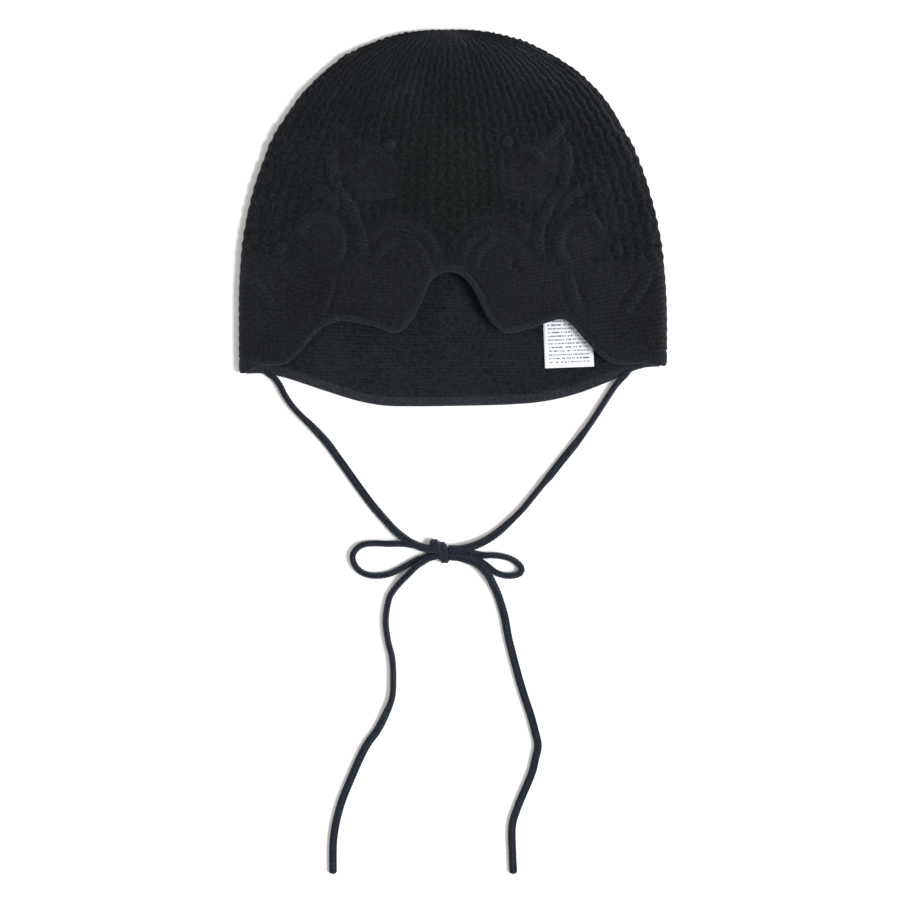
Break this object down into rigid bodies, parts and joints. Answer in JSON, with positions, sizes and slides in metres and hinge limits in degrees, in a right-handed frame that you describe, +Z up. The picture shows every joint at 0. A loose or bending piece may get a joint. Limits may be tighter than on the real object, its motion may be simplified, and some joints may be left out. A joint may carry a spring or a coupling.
{
  "type": "knit cap with chin ties",
  "caption": "Rounded black knit cap lying flat, scalloped front edge, raised leaf and bobble pattern, long knit chin ties tied in a bow.",
  "frame": {"origin": "on the surface that the cap lies on, under the middle of the cap without its cords", "axes": "+X across the cap to the right as seen from above, +Y towards the crown, +Z up, out of the front layer"},
  "size_m": [0.2365, 0.4644, 0.018],
  "materials": {
    "black_knit": "matt black cotton knit, lace mesh and stockinette with raised cables",
    "rib_edging": "fine ribbed edging, a little bluer and smoother than the knit",
    "satin_label": "white satin ribbon",
    "knit_cord": "fine tubular knit cord"
  },
  "bodies": {
    "root": {"cap_body": "black_knit", "front_edging": "rib_edging", "back_edging": "rib_edging", "care_label": "satin_label", "tie_left": "knit_cord", "tie_right": "knit_cord", "loop_left": "knit_cord", "loop_right": "knit_cord", "end_left": "knit_cord", "end_right": "knit_cord", "bow_knot": "knit_cord"}
  },
  "joints": []
}
